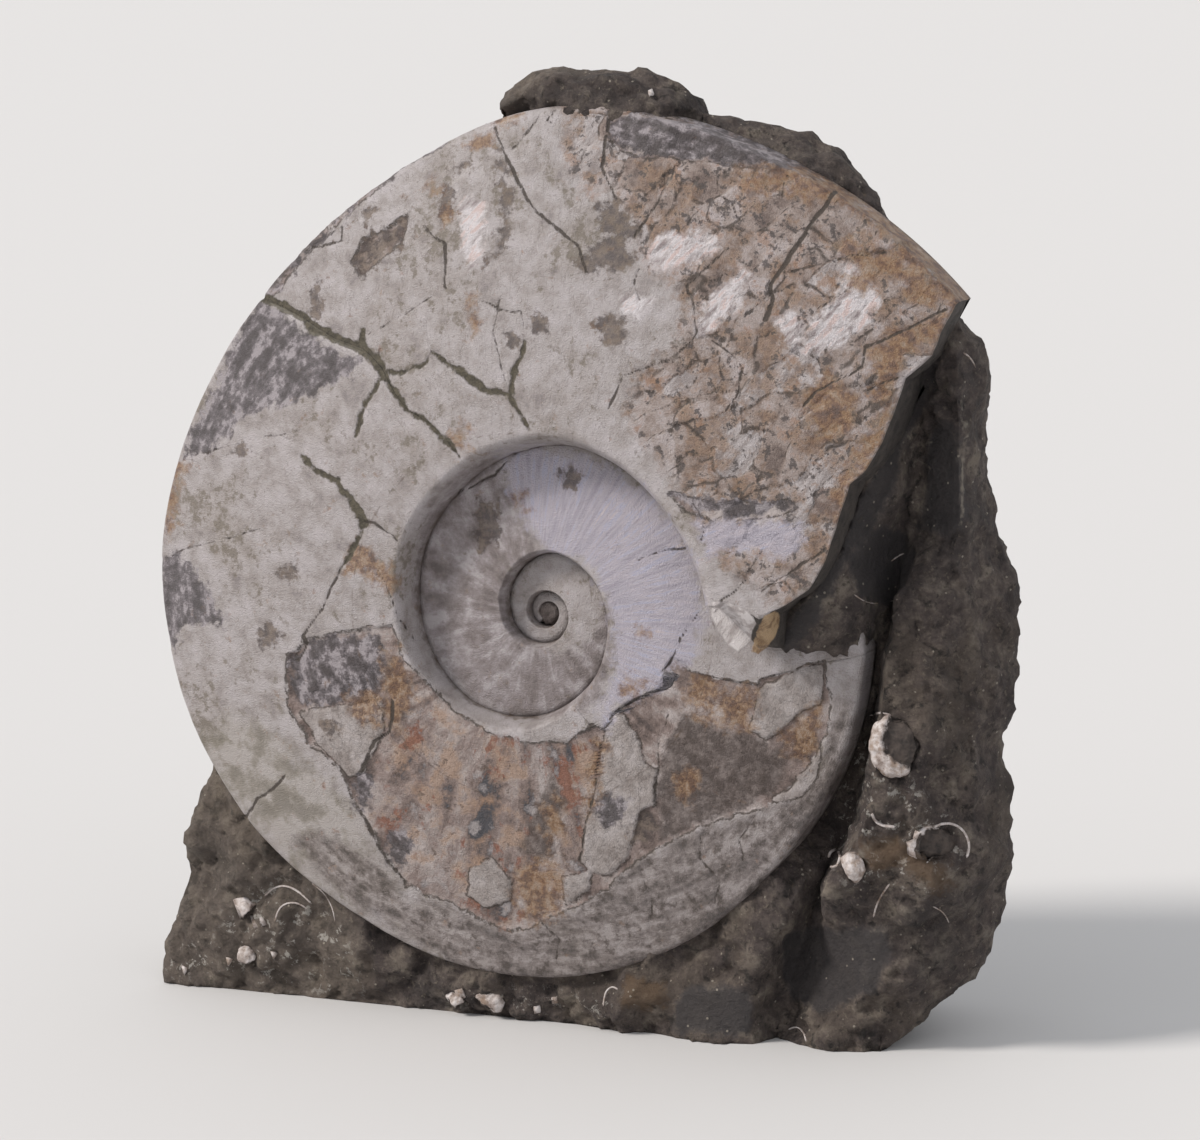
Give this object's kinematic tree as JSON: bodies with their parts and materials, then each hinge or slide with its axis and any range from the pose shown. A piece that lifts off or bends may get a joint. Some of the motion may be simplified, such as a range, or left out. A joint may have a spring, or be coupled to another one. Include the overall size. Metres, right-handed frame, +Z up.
{
  "type": "ammonite fossil in matrix",
  "caption": "Flat-coiled ammonite with pearly shell, set in a block of dark mudstone that is cut flat below so that it stands for display.",
  "frame": {"origin": "on the flat cut base, below the middle of the block", "axes": "+Z up; the fossil's flat side faces -Y; +X is to the right of someone who looks at the fossil"},
  "size_m": [0.3784, 0.1465, 0.4018],
  "materials": {
    "mudstone": "dark grey-brown mudstone, prepared rough, with rust stains",
    "shell": "weathered pearly shell over grey-brown infill, satin",
    "small_shell": "pale mother-of-pearl, satin"
  },
  "bodies": {
    "root": {"matrix": "mudstone", "ammonite": "shell", "small_ammonite": "small_shell", "pearl_shell": "small_shell", "curled_shell": "small_shell", "base_shell_left": "small_shell", "base_shell_right": "small_shell", "chip_triangle": "small_shell", "chip_round": "small_shell"}
  },
  "joints": []
}
